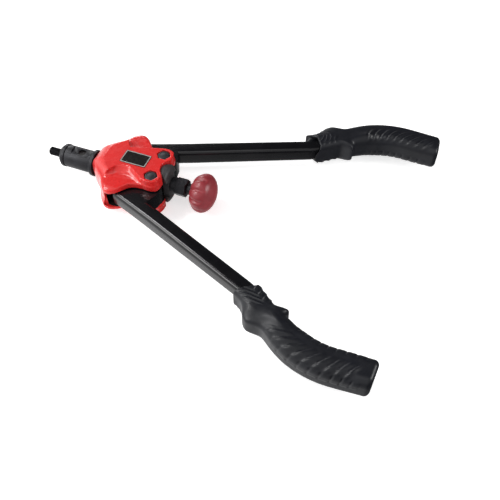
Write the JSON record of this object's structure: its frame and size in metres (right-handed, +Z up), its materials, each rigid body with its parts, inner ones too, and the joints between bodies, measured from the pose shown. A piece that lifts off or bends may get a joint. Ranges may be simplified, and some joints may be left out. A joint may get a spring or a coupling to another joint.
{
  "type": "rivet nut tool",
  "caption": "Long-arm hand tool that sets rivet nuts: levers and links draw a threaded mandrel back through a nosepiece, and a rear knob screws it in and out.",
  "frame": {"origin": "on the mandrel axis at the front face of the nosepiece", "axes": "+X out of the nose along the mandrel, +Y towards the left lever, +Z up out of the casting's labelled top"},
  "size_m": [0.4287, 0.3472, 0.0525],
  "materials": {
    "red_paint": "gloss paint over a casting",
    "label": "satin plate with a pale border",
    "dark_steel": "blackened, dull sheen",
    "cast_grey": "as cast, dull",
    "black_paint": "gloss black",
    "grip": "moulded, satin",
    "bright_steel": "machined",
    "knob": "satin"
  },
  "bodies": {
    "housing": {"body_casting": "red_paint", "label_plate": "label", "pivot_bolts": "dark_steel", "pivot_nuts": "dark_steel", "lever_washers": "bright_steel", "nose_sleeve": "dark_steel", "lock_collar": "dark_steel", "nosepiece": "dark_steel", "rear_bearing": "cast_grey", "bearing_dowels": "bright_steel"},
    "left_lever": {"left_arm": "black_paint", "left_grip": "grip", "left_link_pin": "bright_steel"},
    "right_lever": {"right_arm": "black_paint", "right_grip": "grip", "right_link_pin": "bright_steel"},
    "left_pull": {"left_link": "bright_steel"},
    "right_pull": {"right_link": "bright_steel"},
    "draw_gear": {"draw_tube": "bright_steel", "crosshead": "bright_steel", "crosshead_pins": "bright_steel", "crosshead_screw": "bright_steel", "draw_head": "bright_steel", "thrust_washer": "bright_steel", "draw_nut": "dark_steel"},
    "spindle": {"mandrel": "dark_steel", "spindle_rod": "bright_steel", "knob_ferrule": "dark_steel", "knob": "knob"}
  },
  "joints": [
    {"name": "left_lever_hinge", "type": "hinge", "parent": "housing", "child": "left_lever", "pos_m": [-0.125, 0.017, 0], "axis": [0, 0, 1], "range_deg": [0, 24]},
    {"name": "right_lever_hinge", "type": "hinge", "parent": "housing", "child": "right_lever", "pos_m": [-0.125, -0.017, 0], "axis": [0, 0, 1], "range_deg": [-24, 0]},
    {"name": "left_link_hinge", "type": "hinge", "parent": "left_lever", "child": "left_pull", "pos_m": [-0.12126, 0.03461, 0], "axis": [0, 0, 1], "range_deg": [-24, 0]},
    {"name": "right_link_hinge", "type": "hinge", "parent": "right_lever", "child": "right_pull", "pos_m": [-0.12126, -0.03461, 0], "axis": [0, 0, 1], "range_deg": [0, 24]},
    {"name": "draw_slide", "type": "slide", "parent": "housing", "child": "draw_gear", "axis": [1, 0, 0], "range_m": [-0.0075, 0]},
    {"name": "spindle_turn", "type": "hinge", "parent": "draw_gear", "child": "spindle", "pos_m": [0, 0, 0], "axis": [1, 0, 0], "continuous": true}
  ],
  "couplings": [
    {"joint": "right_lever_hinge", "follows": "left_lever_hinge", "ratio": -1},
    {"joint": "left_link_hinge", "follows": "left_lever_hinge", "ratio": -1},
    {"joint": "right_link_hinge", "follows": "left_lever_hinge", "ratio": 1},
    {"joint": "draw_slide", "follows": "left_lever_hinge", "m_per_rad": -0.017869}
  ]
}
